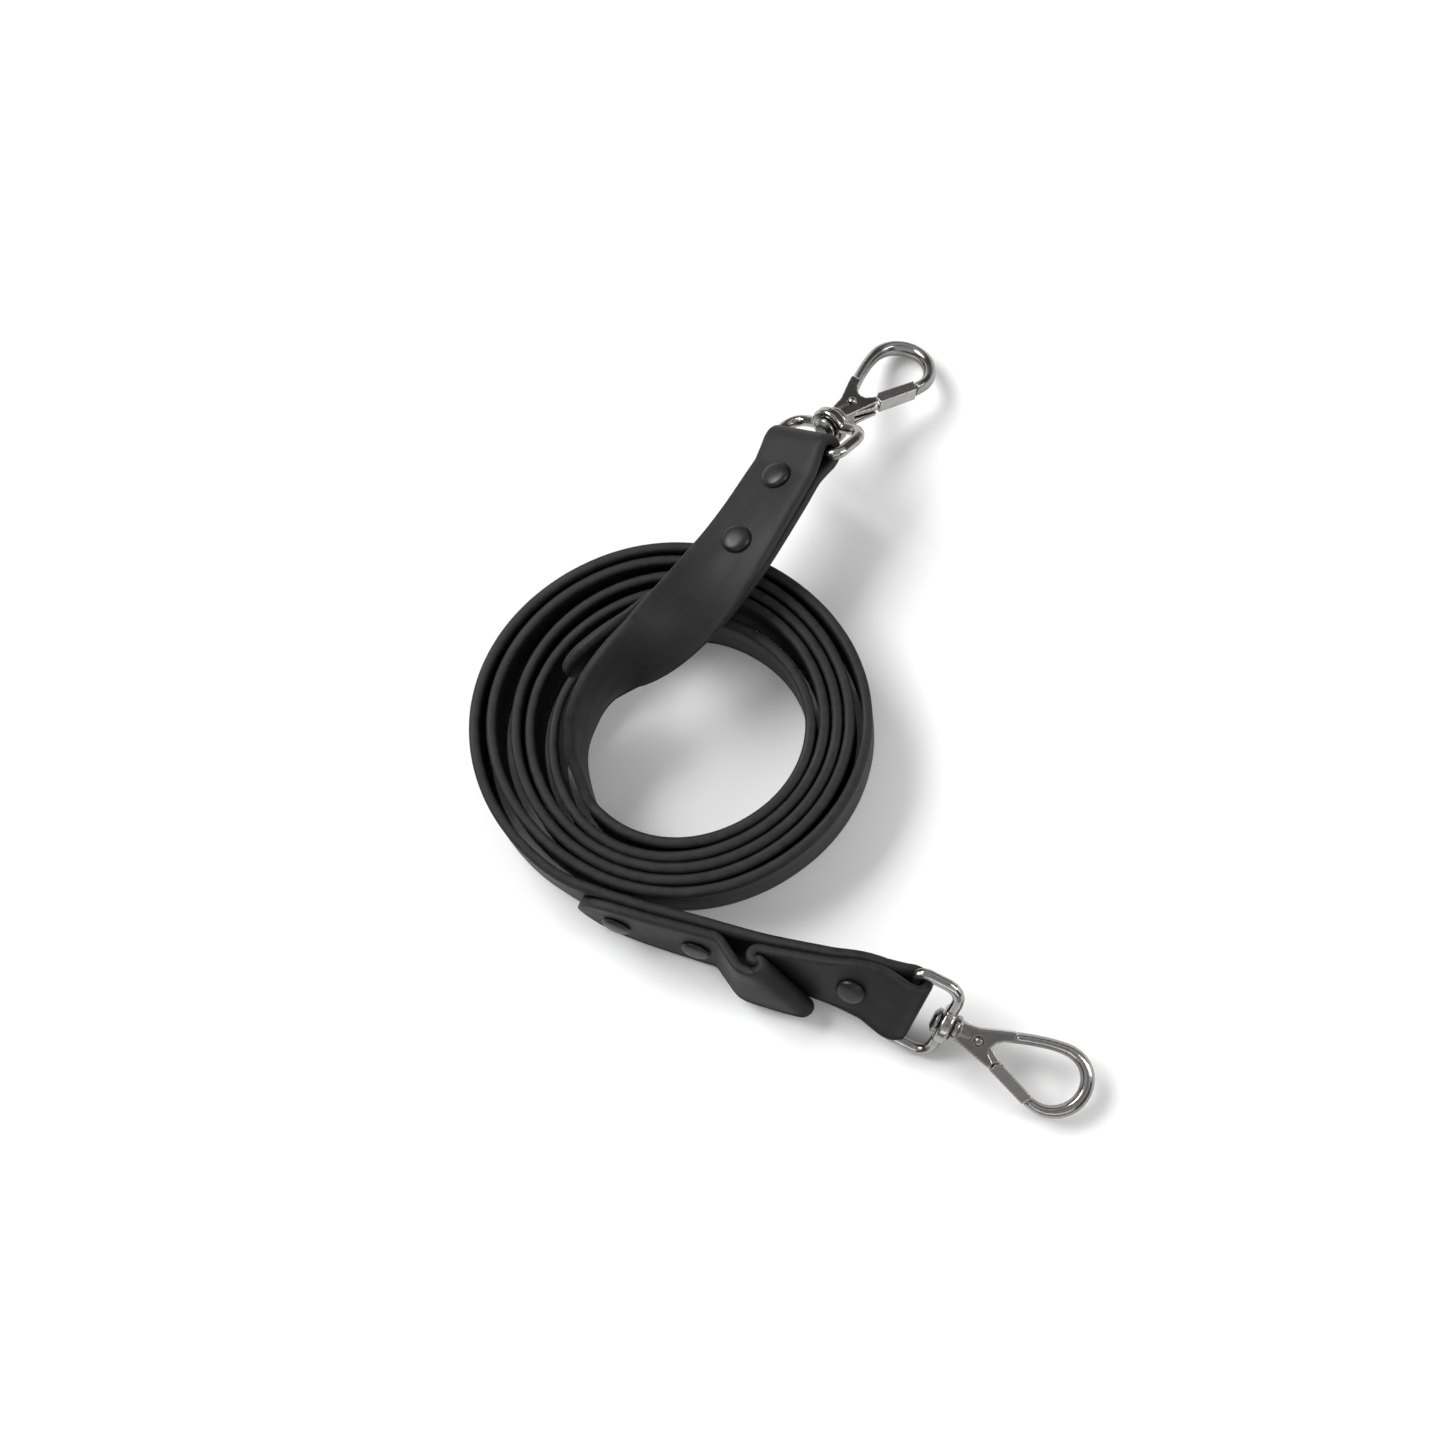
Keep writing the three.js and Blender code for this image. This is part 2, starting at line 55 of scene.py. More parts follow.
WIND_START = 220
WIND_STEP = 60
TURNS = [
    [47.3, 49.2, 45.9, 46.4, 49.6, 45.0],
    [42.7, 44.9, 42.4, 42.7, 45.2, 41.6],
    [39.6, 38.6, 37.4, 39.4, 42.1, 38.5],
    [36.6, 34.8, 33.1, 36.2, 38.9, 35.4],
    [33.7, 28.4, 25.2, 29.3, 35.5, 32.3],
    [29.2, 23.2],
]
LOWER_RUN = [
    [34.9, -83.1, 11.4, -39],
    [27.8, -76.9, 12.9, -34],
    [20.4, -71.6, 12.2, -22],
    [6.5, -62.2, 10.3, -13],
    [-7.6, -52.6, 9.8, -11],
    [-20.4, -43.8, 9.65, -8],
    [-29.6, -36.6, 9.6, -4],
]
UPPER_RUN = [
    [-24.6, -2.2, 13.2, 0],
    [-21.2, 4.4, 18.6, 3],
    [-15.4, 9.6, 25.2, 10],
    [-7.2, 13.6, 29.4, 26],
    [2.4, 17.4, 29.6, 49],
    [13.3, 23.6, 29.0, 77],
    [24.4, 31.6, 28.8, 99],
    [33.8, 39.6, 28.0, 110],
    [43.2, 48.4, 26.8, 115],
    [52.2, 57.2, 25.3, 120],
]


def bend(centre, radius, start, stop, step=30):
    count = max(2, round(abs(stop - start) / step))
    angles = np.radians(start + (stop - start) * np.arange(count + 1) / count)
    return [[centre[0] + radius * math.cos(a), centre[1] + radius * math.sin(a)] for a in angles]


UPPER_TAIL = [[14, LAYER], [32, LAYER], [44, LAYER], [56, 3.2], [66, 4.0], [76, 6.0], [85, 9.4]]
LOWER_TAIL = [
    [13, LAYER],
    [24, LAYER],
    [32, LAYER],
    *bend([36.4, 4.55], 1.6, -90, 90),
    [33.4, 6.15],
    *bend([30, 7.8], 1.65, -90, -270),
    [34.5, 9.45],
    [39.6, 8.9],
    [43.6, 6],
    [47.6, LAYER + 0.15],
    [52, LAYER + 0.02],
    [60, LAYER],
    [84, LAYER],
]
SLANT_AMOUNT = 6
SLANT_FULL = 29.6
SLANT_NONE = 36.6
SLANT_ABOVE = 5
FOLD_START = 7.5
FOLD_RADIUS = WIRE_R + 2 * GAP + STRAP_THICK / 2
FOLD_REACH = 102
FOLD_STEP = 34

ENDS = {
    "upper": {"at_start": False, "tail": UPPER_TAIL, "rivets": [11, 31], "cap_on_tail": False},
    "lower": {"at_start": True, "tail": LOWER_TAIL, "rivets": [12.5, 52.8, 73.5], "cap_on_tail": True},
}

# How finely the shown strap is made: along its length, at its tight bends, and round its section.
FINE_STEP = 1.5
FINE_BEND_STEP = 0.45
EDGE_RADIUS = 0.95
EDGE_STEPS = 5
FACE_STEPS = 10
TIGHT_TURN = 0.09
TIP_STEPS = 14
TIP_LEAST = 0.02


class Spline:
    """The Catmull-Rom curve that the CAD uses, through rows of numbers."""

    def __init__(self, points, centripetal, divisions=2000):
        self.points = np.asarray(points, float)
        self.centripetal = centripetal
        self.table_t = np.linspace(0, 1, divisions + 1)
        rows = np.array([self.at(t) for t in self.table_t])
        steps = np.linalg.norm(np.diff(rows, axis=0), axis=1)
        self.lengths = np.concatenate([[0], np.cumsum(steps)])
        self.length = self.lengths[-1]

    def at(self, t):
        p = self.points
        last = len(p) - 1
        place = last * min(max(t, 0), 1)
        i = min(int(place), last - 1)
        weight = place - i
        before = p[i - 1] if i > 0 else 2 * p[0] - p[1]
        after = p[i + 2] if i + 2 <= last else 2 * p[last] - p[last - 1]
        a, b = p[i], p[i + 1]
        if self.centripetal:
            gaps = [math.sqrt(np.linalg.norm(v - u)) for u, v in ((before, a), (a, b), (b, after))]
            mid = gaps[1] if gaps[1] > 1e-4 else 1.0
            first, final = [g if g > 1e-4 else mid for g in (gaps[0], gaps[2])]
            t0 = ((a - before) / first - (b - before) / (first + mid) + (b - a) / mid) * mid
            t1 = ((b - a) / mid - (after - a) / (mid + final) + (after - b) / final) * mid
        else:
            t0, t1 = (b - before) / 2, (after - a) / 2
        w2, w3 = weight**2, weight**3
        return a + t0 * weight + (3 * (b - a) - 2 * t0 - t1) * w2 + (2 * (a - b) + t0 + t1) * w3

    def t_of(self, distance):
        return float(np.interp(distance, self.lengths, self.table_t))

    def tangent(self, t):
        step = 1e-4
        return unit(self.at(min(1, t + step)) - self.at(max(0, t - step)))


def unit(v):
    return v / np.linalg.norm(v)


def matrix_of(x, y, z, place):
    """The matrix with these three axes, at a place in metres."""
    return Matrix([*([x[i], y[i], z[i], place[i]] for i in range(3)), [0, 0, 0, 1]])


def coil_stations():
    radii = [[r] for turn in TURNS for r in turn]
    curve = Spline(radii, centripetal=False, divisions=10)
    spans = len(radii) - 1
    count = spans * 5
    stations = []
    for i in range(count + 1):
        radius = curve.at(i / count)[0]
        angle = math.radians(WIND_START - WIND_STEP * spans * i / count)
        stations.append([radius * math.cos(angle), radius * math.sin(angle), STRAP_WIDTH / 2, 0])
    return stations


class MainLayer:
    """The strap's main layer, from the lower hook's crossbar to the upper one's."""

    def __init__(self):
        stations = np.array([*LOWER_RUN, *coil_stations()[:-4], *UPPER_RUN], float)
        self.curve = Spline(stations[:, :3] + COIL_CENTRE, centripetal=True, divisions=9000)
        self.leans = Spline(stations[:, 3:], centripetal=False, divisions=10)
        self.length = self.curve.length

    def frame_at(self, distance):
        """Place, direction along, direction across and face direction at a distance from the start."""
        inside = min(max(distance, 0), self.length)
        t = self.curve.t_of(inside)
        along = self.curve.tangent(t)
        left = unit(np.cross([0, 0, 1], along))
        upright = np.cross(along, left)
        lean = math.radians(self.leans.at(t)[0])
        width = unit(upright * math.cos(lean) + left * math.sin(lean))
        at = self.curve.at(t) + along * (distance - inside)
        return at, along, width, np.cross(along, width)


main = MainLayer()


def end_frame(end, distance):
    """The main layer's frame at a distance from the crossbar at one end."""
    return main.frame_at(distance if end["at_start"] else main.length - distance)


def beside(end, distance, off):
    at, _, _, face = end_frame(end, distance)
    return at - face * off


def slant_at(end, s, n):
    """How far the accessory loop's fold runs askew."""
    if end["tail"] is not LOWER_TAIL or n < SLANT_ABOVE:
        return 0
    return SLANT_AMOUNT * min(max((SLANT_NONE - s) / (SLANT_NONE - SLANT_FULL), 0), 1)


def tail_stations(end):
    """[distance back along the main layer, distance off it, length still left] along one fold and tail."""
    fold = bend([0, LAYER / 2], FOLD_RADIUS, 180 + FOLD_REACH, 180 - FOLD_REACH, FOLD_STEP)
    points = [[FOLD_START, 0], [4, -0.9], *fold, [4, LAYER + 0.9], [FOLD_START, LAYER], *end["tail"]]
    curve = Spline(points, centripetal=True, divisions=4000)
    stations = []
    travelled = 0.0
    while travelled < curve.length - STRAP_WIDTH / 2:
        here = curve.t_of(travelled)
        ahead = curve.t_of(travelled + FINE_STEP)
        stations.append([*curve.at(here), curve.length - travelled])
        turn = math.acos(min(1, max(-1, curve.tangent(here) @ curve.tangent(ahead))))
        travelled += FINE_BEND_STEP if turn > TIGHT_TURN else FINE_STEP
    for i in range(1, TIP_STEPS + 1):
        left = STRAP_WIDTH / 2 * (1 - math.sin(math.pi / 2 * i / TIP_STEPS))
        stations.append([*curve.at(curve.t_of(curve.length - left)), left])
    return stations


def end_sections(end):
    """The strap's top and bottom edge points along one fold and tail, rounded off at the tip."""
    sections = []
    for s, n, left in tail_stations(end):
        reach = min(left, STRAP_WIDTH / 2)
        half = math.sqrt(max(TIP_LEAST, reach * (STRAP_WIDTH - reach)))
        slant = slant_at(end, s, n)
        reach_out = end_frame(end, s)[2] * half
        sections.append([beside(end, s + slant, n) + reach_out, beside(end, s - slant, n) - reach_out])
    return sections


def main_sections():
    """The strap's top and bottom edge points between its two folds."""
    start = FOLD_START + FINE_STEP
    count = round((main.length - 2 * start) / FINE_STEP)
    sections = []
    for i in range(count + 1):
        at, _, width, _ = main.frame_at(start + (main.length - 2 * start) * i / count)
        sections.append([at + width * STRAP_WIDTH / 2, at - width * STRAP_WIDTH / 2])
    return sections


# ---------------------------------------------------------------- meshes
def mesh_object(name, vertices, faces):
    """A smooth-shaded object from vertices in metres and faces."""
    mesh = bpy.data.meshes.new(name)
    mesh.from_pydata([tuple(v) for v in vertices], [], faces)
    mesh.update()
    mesh.polygons.foreach_set("use_smooth", [True] * len(mesh.polygons))
    piece = bpy.data.objects.new(name, mesh)
    bpy.context.scene.collection.objects.link(piece)
    return piece


def section_outline():
    """The strap's section in millimetres: ("face", across, height) and ("edge", side, out, height)."""
    flat = STRAP_WIDTH / 2 - EDGE_RADIUS
    high = STRAP_THICK / 2
    tuck = high - EDGE_RADIUS
    outline = []
    for side, face in ((1, 1), (-1, -1)):
        for i in range(FACE_STEPS):
            outline.append(("face", side * (2 * i / FACE_STEPS - 1) * flat, face * high))
        for i in range(EDGE_STEPS):
            a = math.pi / 2 * (1 - i / (EDGE_STEPS - 1))
            rise = face * (tuck + EDGE_RADIUS * math.sin(a))
            outline.append(("edge", side, EDGE_RADIUS * math.cos(a), rise))
        for i in range(EDGE_STEPS):
            a = -math.pi / 2 * i / (EDGE_STEPS - 1)
            rise = face * (-tuck + EDGE_RADIUS * math.sin(a))
            outline.append(("edge", side, EDGE_RADIUS * math.cos(a), rise))
    return outline


def place_on_section(entry, half):
    """(distance across from the middle, height) of an outline point where the strap is 2 * half wide."""
    flat = max(0, half - EDGE_RADIUS)
    if entry[0] == "face":
        return entry[1] * flat / (STRAP_WIDTH / 2 - EDGE_RADIUS), entry[2]
    _, side, out, height = entry
    return side * (flat + out * min(1, half / EDGE_RADIUS)), height


def strap_mesh():
    """Vertices, faces, edge wear, (along, across, height) places and the length of the strap."""
    lower, upper = end_sections(ENDS["lower"]), end_sections(ENDS["upper"])
    sections = np.array([*lower[::-1], *main_sections(), *upper])
    outline = section_outline()
    middles = sections.mean(axis=1)
    travel = np.concatenate([[0], np.cumsum(np.linalg.norm(np.diff(middles, axis=0), axis=1))])
    before = np.concatenate([sections[:1], sections[:-1]])
    after = np.concatenate([sections[1:], sections[-1:]])
    vertices, edge_wear, uvs = [], [], []
    for k, (top, bottom) in enumerate(sections):
        across = top - bottom
        half = np.linalg.norm(across) / 2
        across /= 2 * half
        along_top, along_bottom = after[k] - before[k]
        for entry in outline:
            offset, height = place_on_section(entry, half)
            share = (offset / half + 1) / 2
            face = unit(np.cross(along_bottom * (1 - share) + along_top * share, across))
            vertices.append((middles[k] + across * offset + face * height) * MM)
            edge_wear.append(1.0 if entry[0] == "edge" else 0.0)
            uvs.append((travel[k] * MM, offset * MM, height * MM))
    sides = len(outline)
    faces = []
    for k in range(len(sections) - 1):
        for j in range(sides):
            a, b = k * sides + j, k * sides + (j + 1) % sides
            faces.append((a, b, b + sides, a + sides))
    faces.append(tuple(range(sides))[::-1])
    faces.append(tuple(range((len(sections) - 1) * sides, len(sections) * sides)))
    return vertices, faces, edge_wear, uvs, travel[-1]


def float_attribute(piece, name, values):
    attribute = piece.data.attributes.new(name, "FLOAT", "POINT")
    attribute.data.foreach_set("value", values)


def vector_attribute(piece, name, values):
    attribute = piece.data.attributes.new(name, "FLOAT_VECTOR", "POINT")
    attribute.data.foreach_set("vector", np.asarray(values, float).ravel())


def outwards(piece):
    """Turns the faces outwards."""
    work = bmesh.new()
    work.from_mesh(piece.data)
    bmesh.ops.recalc_face_normals(work, faces=work.faces)
    if work.calc_volume(signed=True) < 0:
        bmesh.ops.reverse_faces(work, faces=work.faces)
    work.to_mesh(piece.data)
    work.free()


def turned(name, profile, segments=64):
    """A closed piece turned about X from [distance, radius] pairs in millimetres."""
    vertices, rings = [], []
    for x, r in profile:
        if r == 0:
            rings.append([len(vertices)])
            vertices.append((x * MM, 0, 0))
            continue
        rings.append(list(range(len(vertices), len(vertices) + segments)))
        for j in range(segments):
            a = 2 * math.pi * j / segments
            vertices.append((x * MM, r * MM * math.cos(a), r * MM * math.sin(a)))
    faces = []
    for one, two in zip(rings, rings[1:]):
        for j in range(segments):
            k = (j + 1) % segments
            if len(one) == 1:
                faces.append((one[0], two[k], two[j]))
            elif len(two) == 1:
                faces.append((one[j], one[k], two[0]))
            else:
                faces.append((one[j], one[k], two[k], two[j]))
    piece = mesh_object(name, vertices, faces)
    outwards(piece)
    return piece


def arc(centre, radius, start, stop, steps):
    """[distance, radius] pairs on a quarter round or part of one, angles in degrees."""
    pairs = []
    for i in range(steps + 1):
        a = math.radians(start + (stop - start) * i / steps)
        pairs.append([centre[0] + radius * math.sin(a), max(0, centre[1] + radius * math.cos(a))])
    return pairs


# ---------------------------------------------------------------- rivets
RIVET_CAP = 3.8
RIVET_DOME = 1.5
RIVET_REACH = 0.5
RIVET_SOCKET = 1.75
RIVET_SHANK = 1.4
RIVET_HEAD = 3.4
RIVET_HEAD_THICK = 0.65
RIVET_RIM = 0.5


def dome_profile(base, radius, height, rim, steps=14):
    """A shallow dome with a rounded rim, from its base edge to its crown."""
    crown = height - rim
    pairs = []
    for i in range(steps + 1):
        share = i / steps
        angle = math.pi / 2 * share
        pairs.append([base + rim + crown * math.sin(angle), (radius - rim * 0.4) * math.cos(angle) ** 0.8])
    pairs[-1][1] = 0
    lip = arc([base + rim / 2, radius - rim / 2], rim / 2, -45, 60, 5)
    return [[base, radius - rim * 0.5], *lip, *pairs[1:]]


def rivet_matrix(end, distance):
    at, _, width, face = end_frame(end, distance)
    x, y = unit(-face), unit(width)
    z = np.cross(x, y)
    if not end["cap_on_tail"]:
        at = at + x * LAYER
        x, z = -x, -z
    return matrix_of(x, y, z, at * MM)


def rivet_cap(name, brim, tip):
    return turned(name, [
        [tip + GAP, 0],
        [tip + GAP, RIVET_SOCKET],
        [brim, RIVET_SOCKET],
        *dome_profile(brim, RIVET_CAP, RIVET_DOME, RIVET_RIM),
    ])


def rivet_stud(name, foot, tip):
    # The head's rounded side, as shares of its thickness and radius.
    side = [(1, 0), (1, 0.5), (0.97, 0.72), (0.7, 0.92), (0.35, 0.995), (0, 1)]
    head = [[foot - RIVET_HEAD_THICK * deep, RIVET_HEAD * wide] for deep, wide in side]
    return turned(name, [*head, [foot, RIVET_SHANK], [tip, RIVET_SHANK], [tip, 0]])


def make_rivet(name, end, distance):
    foot = -STRAP_THICK / 2 - GAP
    brim = LAYER + STRAP_THICK / 2 + GAP
    tip = brim + RIVET_REACH
    pieces = {
        name + "_cap": rivet_cap(name + "_cap_shown", brim, tip),
        name + "_stud": rivet_stud(name + "_stud_shown", foot, tip),
    }
    place = rivet_matrix(end, distance)
    for node, piece in pieces.items():
        piece.data.transform(place)
        piece.data.update()
        piece.data.materials.append(rivet_material)
        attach(piece, "leash")
        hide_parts(node)


# ---------------------------------------------------------------- materials
class Nodes:
    """A material's node tree, with short calls for what every material here needs."""

    def __init__(self, name):
        self.material = bpy.data.materials.new(name)
        self.material.use_nodes = True
        self.tree = self.material.node_tree
        self.shader = self.tree.nodes["Principled BSDF"]

    def add(self, kind, **values):
        node = self.tree.nodes.new(kind)
        for key, value in values.items():
            setattr(node, key, value)
        return node

    def link(self, source, target):
        self.tree.links.new(source, target)

    def set(self, **values):
        for key, value in values.items():
            self.shader.inputs[key.replace("_", " ")].default_value = value

    def noise(self, vector, scale, detail=3.0, roughness=0.55):
        node = self.add("ShaderNodeTexNoise")
        node.inputs["Scale"].default_value = scale
        node.inputs["Detail"].default_value = detail
        node.inputs["Roughness"].default_value = roughness
        self.link(vector, node.inputs["Vector"])
        return node.outputs["Fac"]

    def span(self, value, low, high, to_low=0.0, to_high=1.0):
        node = self.add("ShaderNodeMapRange")
        for key, number in (("From Min", low), ("From Max", high), ("To Min", to_low), ("To Max", to_high)):
            node.inputs[key].default_value = number
        self.link(value, node.inputs["Value"])
        return node.outputs["Result"]

    def math(self, operation, one, two):
        node = self.add("ShaderNodeMath", operation=operation)
        for slot, value in zip(node.inputs, (one, two)):
            if isinstance(value, (int, float)):
                slot.default_value = value
            else:
                self.link(value, slot)
        return node.outputs[0]

    def mix(self, share, one, two):
        node = self.add("ShaderNodeMix", data_type="RGBA")
        self.link(share, node.inputs[0])
        for slot, value in zip(node.inputs[6:8], (one, two)):
            if isinstance(value, tuple):
                slot.default_value = value
            else:
                self.link(value, slot)
        return node.outputs[2]

    def bump(self, height, strength, distance, under=None):
        node = self.add("ShaderNodeBump")
        node.inputs["Strength"].default_value = strength
        node.inputs["Distance"].default_value = distance
        self.link(height, node.inputs["Height"])
        if under is not None:
            self.link(under, node.inputs["Normal"])
        return node.outputs["Normal"]

    def scaled(self, vector, factors):
        node = self.add("ShaderNodeMapping")
        node.inputs["Scale"].default_value = factors
        self.link(vector, node.inputs["Vector"])
        return node.outputs["Vector"]

    def place(self):
        return self.add("ShaderNodeTexCoord").outputs["Object"]

    def attribute(self, name, output="Fac"):
        return self.add("ShaderNodeAttribute", attribute_name=name).outputs[output]


def strap_surface():
    """Coated webbing: near-black, satin, with a fine grain, faint draw lines and rubbed edges."""
    n = Nodes("coated_webbing")
    along = n.attribute("strap_place", "Vector")
    grain = n.noise(n.place(), 5200, 2.0)
    mottle = n.noise(n.place(), 140, 4.0)
    lines = n.noise(n.scaled(along, (22, 1500, 1500)), 1.0, 3.0)
    edge = n.attribute("edge_wear")
    rubbed = n.math("MULTIPLY", edge, n.span(n.noise(n.place(), 420, 3.0), 0.35, 0.75))
    base = n.mix(n.span(mottle, 0.3, 0.7), (0.0062, 0.0062, 0.0064, 1), (0.0098, 0.0098, 0.0101, 1))
    specks = n.span(n.noise(n.place(), 2600, 1.0), 0.70, 0.76)
    dusted = n.mix(n.math("MULTIPLY", specks, 0.25), base, (0.07, 0.07, 0.07, 1))
    worn = n.mix(n.math("MULTIPLY", rubbed, 0.7), dusted, (0.022, 0.022, 0.0225, 1))
    n.link(worn, n.shader.inputs["Base Color"])
    rough = n.span(n.noise(n.scaled(along, (60, 300, 300)), 1.0, 4.0), 0.25, 0.75, 0.50, 0.64)
    n.link(n.math("ADD", rough, n.math("MULTIPLY", rubbed, 0.08)), n.shader.inputs["Roughness"])
    fine = n.bump(grain, 0.22, 0.00004)
    drawn = n.bump(lines, 0.30, 0.00005, fine)
    n.link(n.bump(mottle, 0.35, 0.00012, drawn), n.shader.inputs["Normal"])
    n.set(Specular_IOR_Level=0.28, IOR=1.5)
    return n.material


def rivet_surface():
    """Black painted metal, a little chipped and scuffed."""
    n = Nodes("black_rivet_paint")
    mottle = n.noise(n.place(), 900, 4.0)
    chips = n.span(n.noise(n.place(), 1700, 3.0), 0.70, 0.73)
    paint = n.mix(n.span(mottle, 0.3, 0.7), (0.005, 0.005, 0.0052, 1), (0.009, 0.009, 0.0093, 1))
    n.link(paint, n.shader.inputs["Base Color"])
    n.link(n.span(mottle, 0.3, 0.7, 0.30, 0.44), n.shader.inputs["Roughness"])
    n.link(n.math("MULTIPLY", chips, 0.5), n.shader.inputs["Metallic"])
    n.link(n.bump(n.noise(n.place(), 3800, 2.0), 0.25, 0.00003), n.shader.inputs["Normal"])
    n.set(Specular_IOR_Level=0.35)
    return n.material


def steel_surface(name, tone, rough_low, rough_high, scratch=0.2):
    """Plated cast metal: polished but rippled, with hairlines and duller patches."""
    n = Nodes(name)
    cloud = n.noise(n.place(), 260, 4.0)
    dull = tuple(c * 0.80 for c in tone)
    n.link(n.mix(n.span(cloud, 0.35, 0.75), (*tone, 1), (*dull, 1)), n.shader.inputs["Base Color"])
    hair = n.noise(n.scaled(n.place(), (900, 4200, 4200)), 1.0, 2.0)
    rough = n.span(cloud, 0.3, 0.7, rough_low, rough_high)
    n.link(n.math("ADD", rough, n.span(hair, 0.45, 0.7, 0.0, 0.05)), n.shader.inputs["Roughness"])
    ripple = n.bump(n.noise(n.place(), 330, 2.0), 0.35, 0.00006)
    n.link(n.bump(hair, scratch, 0.00001, ripple), n.shader.inputs["Normal"])
    n.set(Metallic=1.0)
    return n.material


strap_material = strap_surface()
rivet_material = rivet_surface()
hook_material = steel_surface("satin_nickel", (0.31, 0.303, 0.296), 0.13, 0.24)
eye_material = steel_surface("satin_nickel_eye", (0.37, 0.358, 0.352), 0.12, 0.22)
gate_material = steel_surface("satin_nickel_gate", (0.40, 0.392, 0.38), 0.17, 0.28, 0.35)
pin_material = steel_surface("pin_steel", (0.30, 0.297, 0.293), 0.2, 0.32)
spring_material = steel_surface("spring_wire", (0.24, 0.237, 0.234), 0.28, 0.4)


# ---------------------------------------------------------------- the strap
vertices, faces, edge_wear, places, strap_length = strap_mesh()
strap = mesh_object("strap_shown", vertices, faces)
float_attribute(strap, "edge_wear", edge_wear)
vector_attribute(strap, "strap_place", places)
outwards(strap)
strap.data.materials.append(strap_material)
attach(strap, "leash")
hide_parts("strap")

for end_name, end in ENDS.items():
    for i, distance in enumerate(end["rivets"]):
        make_rivet(f"{end_name}_rivet_{i + 1}", end, distance)


# ---------------------------------------------------------------- the hooks, rounded off like castings
def rounded(node, material, voxel, smoothing):
    """A CAD node with a better material and its facets melted into cast curves."""
    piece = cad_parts[node]
    for slot in piece.material_slots:
        slot.material = material
    remesh = piece.modifiers.new("cast", "REMESH")
    remesh.mode = "VOXEL"
    remesh.voxel_size = voxel * MM
    remesh.use_smooth_shade = True
    soften = piece.modifiers.new("soften", "SMOOTH")
    soften.factor = 0.5
    soften.iterations = smoothing


# Each kind of hook piece: its material, the voxel it is remeshed with in millimetres, and its smoothing.
HOOK_PIECES = {
    "hook_body": (hook_material, 0.2, 14),
    "eye": (eye_material, 0.2, 14),
    "gate": (gate_material, 0.17, 8),
    "swivel_pin": (pin_material, 0.15, 6),
    "gate_pin": (pin_material, 0.1, 4),
    "gate_spring": (spring_material, 0.07, 3),
}
for end_name in ENDS:
    for kind, finish in HOOK_PIECES.items():
        rounded(f"{end_name}_{kind}", *finish)


# ---------------------------------------------------------------- floor, light and camera
FLOOR_HALF = 1.5
FLOOR_TONES = (0.86, 0.88)
AIM = (0, 0, 0.02)
# Each light: its name, place, size and power.
LIGHTS = [
    ("key", (-0.45, 0.55, 0.75), (0.7, 0.45), 11),
    ("fill", (0.8, -0.3, 0.55), (0.35, 0.7), 4),
    ("front", (-0.2, -0.9, 0.5), (0.9, 0.25), 1.4),
]
SKY_STRENGTH = 0.75
# The sky's brightness by height, 0 at the horizon and 1 overhead. Its dark bands give the metal contrast.
SKY = [
    (0.0, 0.5),
    (0.10, 0.6),
    (0.30, 0.10),
    (0.52, 0.12),
    (0.62, 1.0),
    (0.82, 1.0),
    (0.93, 0.30),
    (1.0, 0.9),
]


def make_floor():
    corners = [(x * FLOOR_HALF, y * FLOOR_HALF, 0) for x, y in ((-1, -1), (1, -1), (1, 1), (-1, 1))]
    floor = mesh_object("floor", corners, [(0, 1, 2, 3)])
    n = Nodes("pale_floor")
    low, high = [(tone, tone, tone, 1) for tone in FLOOR_TONES]
    mottle = n.span(n.noise(n.place(), 6, 3.0), 0.3, 0.7)
    n.link(n.mix(mottle, low, high), n.shader.inputs["Base Color"])
    n.set(Roughness=0.8, Specular_IOR_Level=0.2)
    floor.data.materials.append(n.material)


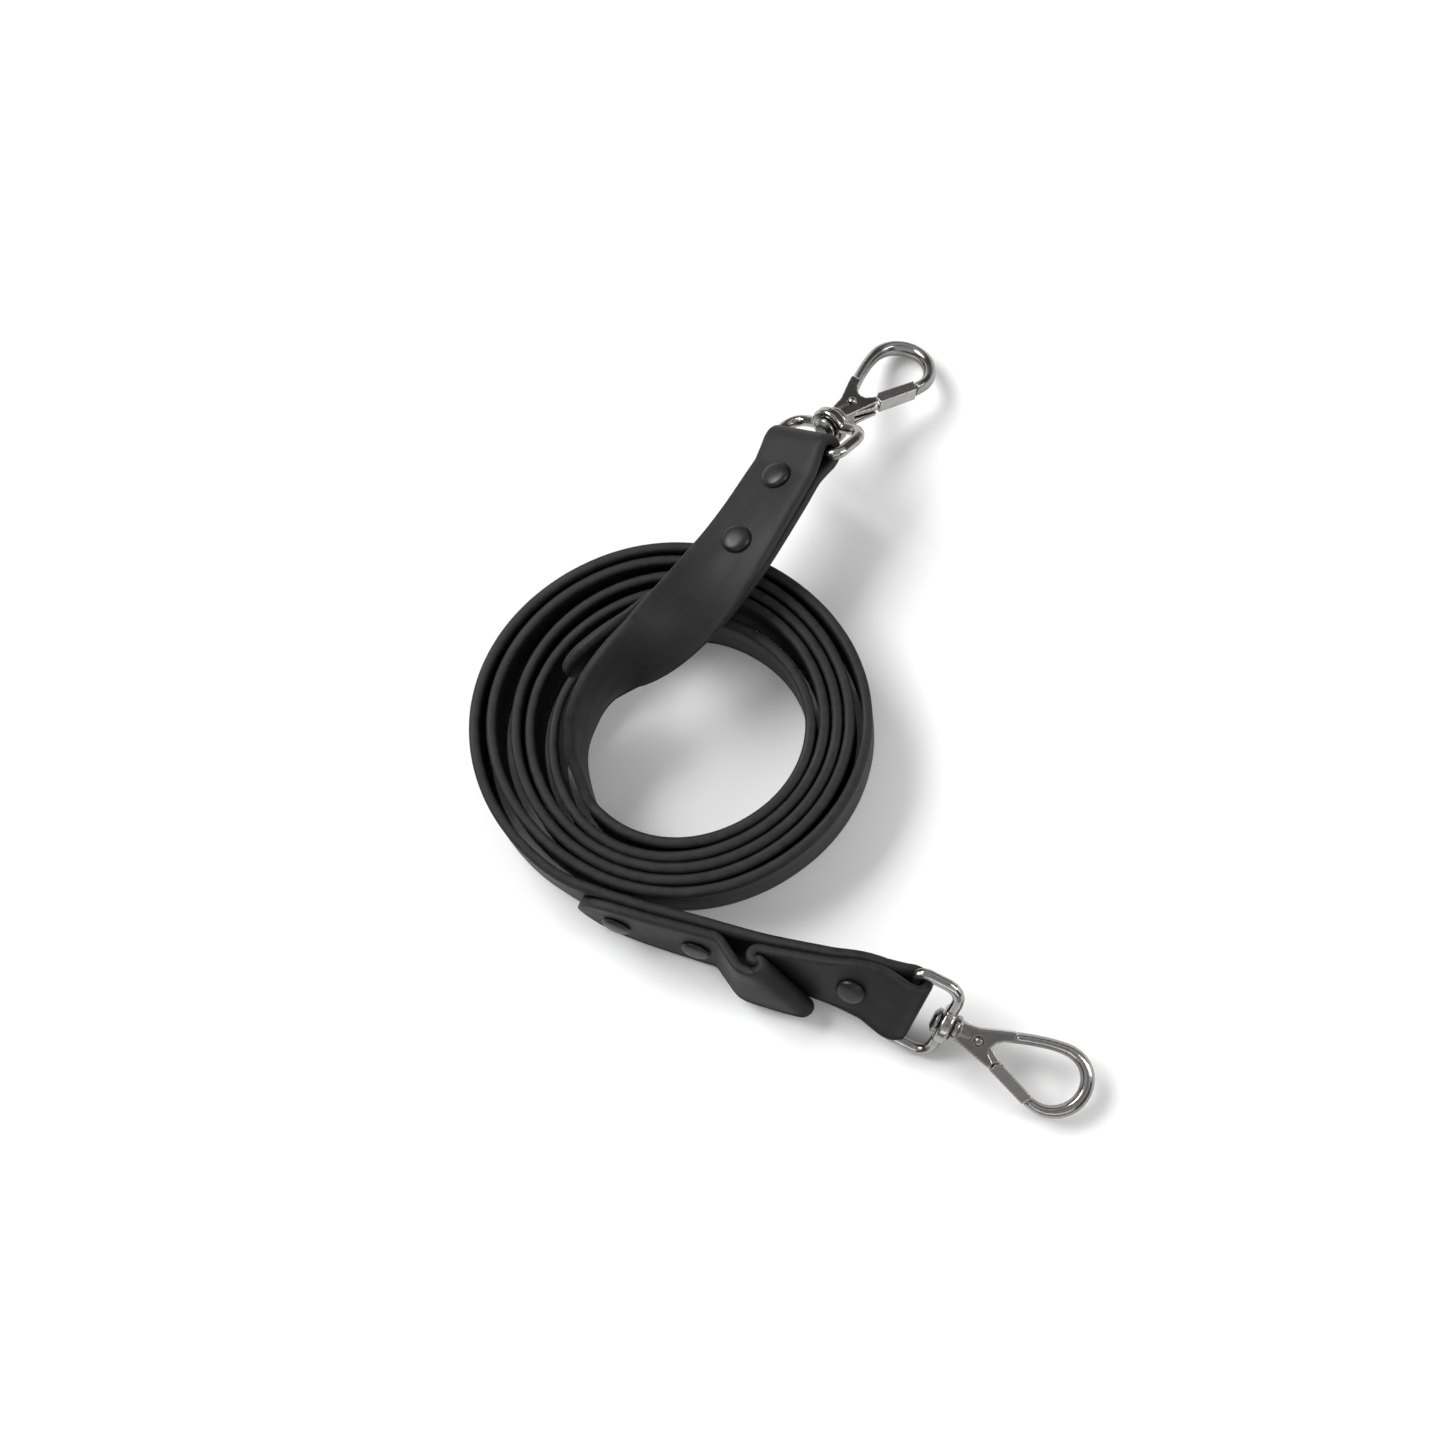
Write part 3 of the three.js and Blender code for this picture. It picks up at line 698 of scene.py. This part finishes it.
def area_light(name, place, size, power):
    light = bpy.data.lights.new(name, "AREA")
    light.shape = "RECTANGLE"
    light.size, light.size_y = size
    light.energy = power
    lamp = bpy.data.objects.new(name, light)
    lamp.location = place
    lamp.rotation_euler = (Vector(AIM) - Vector(place)).to_track_quat("-Z", "Y").to_euler()
    bpy.context.scene.collection.objects.link(lamp)


def make_world():
    world = bpy.data.worlds.new("studio")
    world.use_nodes = True
    tree = world.node_tree
    background = tree.nodes["Background"]
    background.inputs["Strength"].default_value = SKY_STRENGTH
    direction = tree.nodes.new("ShaderNodeTexCoord").outputs["Generated"]
    parts = tree.nodes.new("ShaderNodeSeparateXYZ")
    ramp = tree.nodes.new("ShaderNodeValToRGB")
    tree.links.new(direction, parts.inputs[0])
    tree.links.new(parts.outputs["Z"], ramp.inputs["Fac"])
    tree.links.new(ramp.outputs["Color"], background.inputs["Color"])
    elements = ramp.color_ramp.elements
    elements.remove(elements[1])
    for i, (place, tone) in enumerate(SKY):
        stop = elements[0] if i == 0 else elements.new(place)
        stop.color = (tone, tone, tone, 1)
    bpy.context.scene.world = world


# The camera was solved from the picture: its height above the table, its turn about its own line of sight,
# its distance and its angle of view.
CAMERA_AIM = np.array([-9.2, 15.82, 9.55])
CAMERA_DISTANCE = 657
CAMERA_ELEVATION = 74.3
CAMERA_ROLL = 17.3
CAMERA_LENS = 64.7


def make_camera():
    elevation, roll = math.radians(CAMERA_ELEVATION), math.radians(CAMERA_ROLL)
    forward = np.array([0, math.cos(elevation), -math.sin(elevation)])
    right = np.array([1.0, 0, 0])
    up = np.cross(right, forward)
    side = math.cos(roll) * right - math.sin(roll) * up
    top = math.sin(roll) * right + math.cos(roll) * up
    place = (CAMERA_AIM - forward * CAMERA_DISTANCE) * MM
    data = bpy.data.cameras.new("camera")
    data.sensor_width = 36
    data.lens = CAMERA_LENS
    data.clip_start = 0.01
    camera = bpy.data.objects.new("camera", data)
    camera.matrix_world = matrix_of(side, top, -forward, place)
    bpy.context.scene.collection.objects.link(camera)
    bpy.context.scene.camera = camera


make_floor()
make_world()
for light in LIGHTS:
    area_light(*light)
make_camera()
bpy.context.scene.view_settings.view_transform = "Standard"
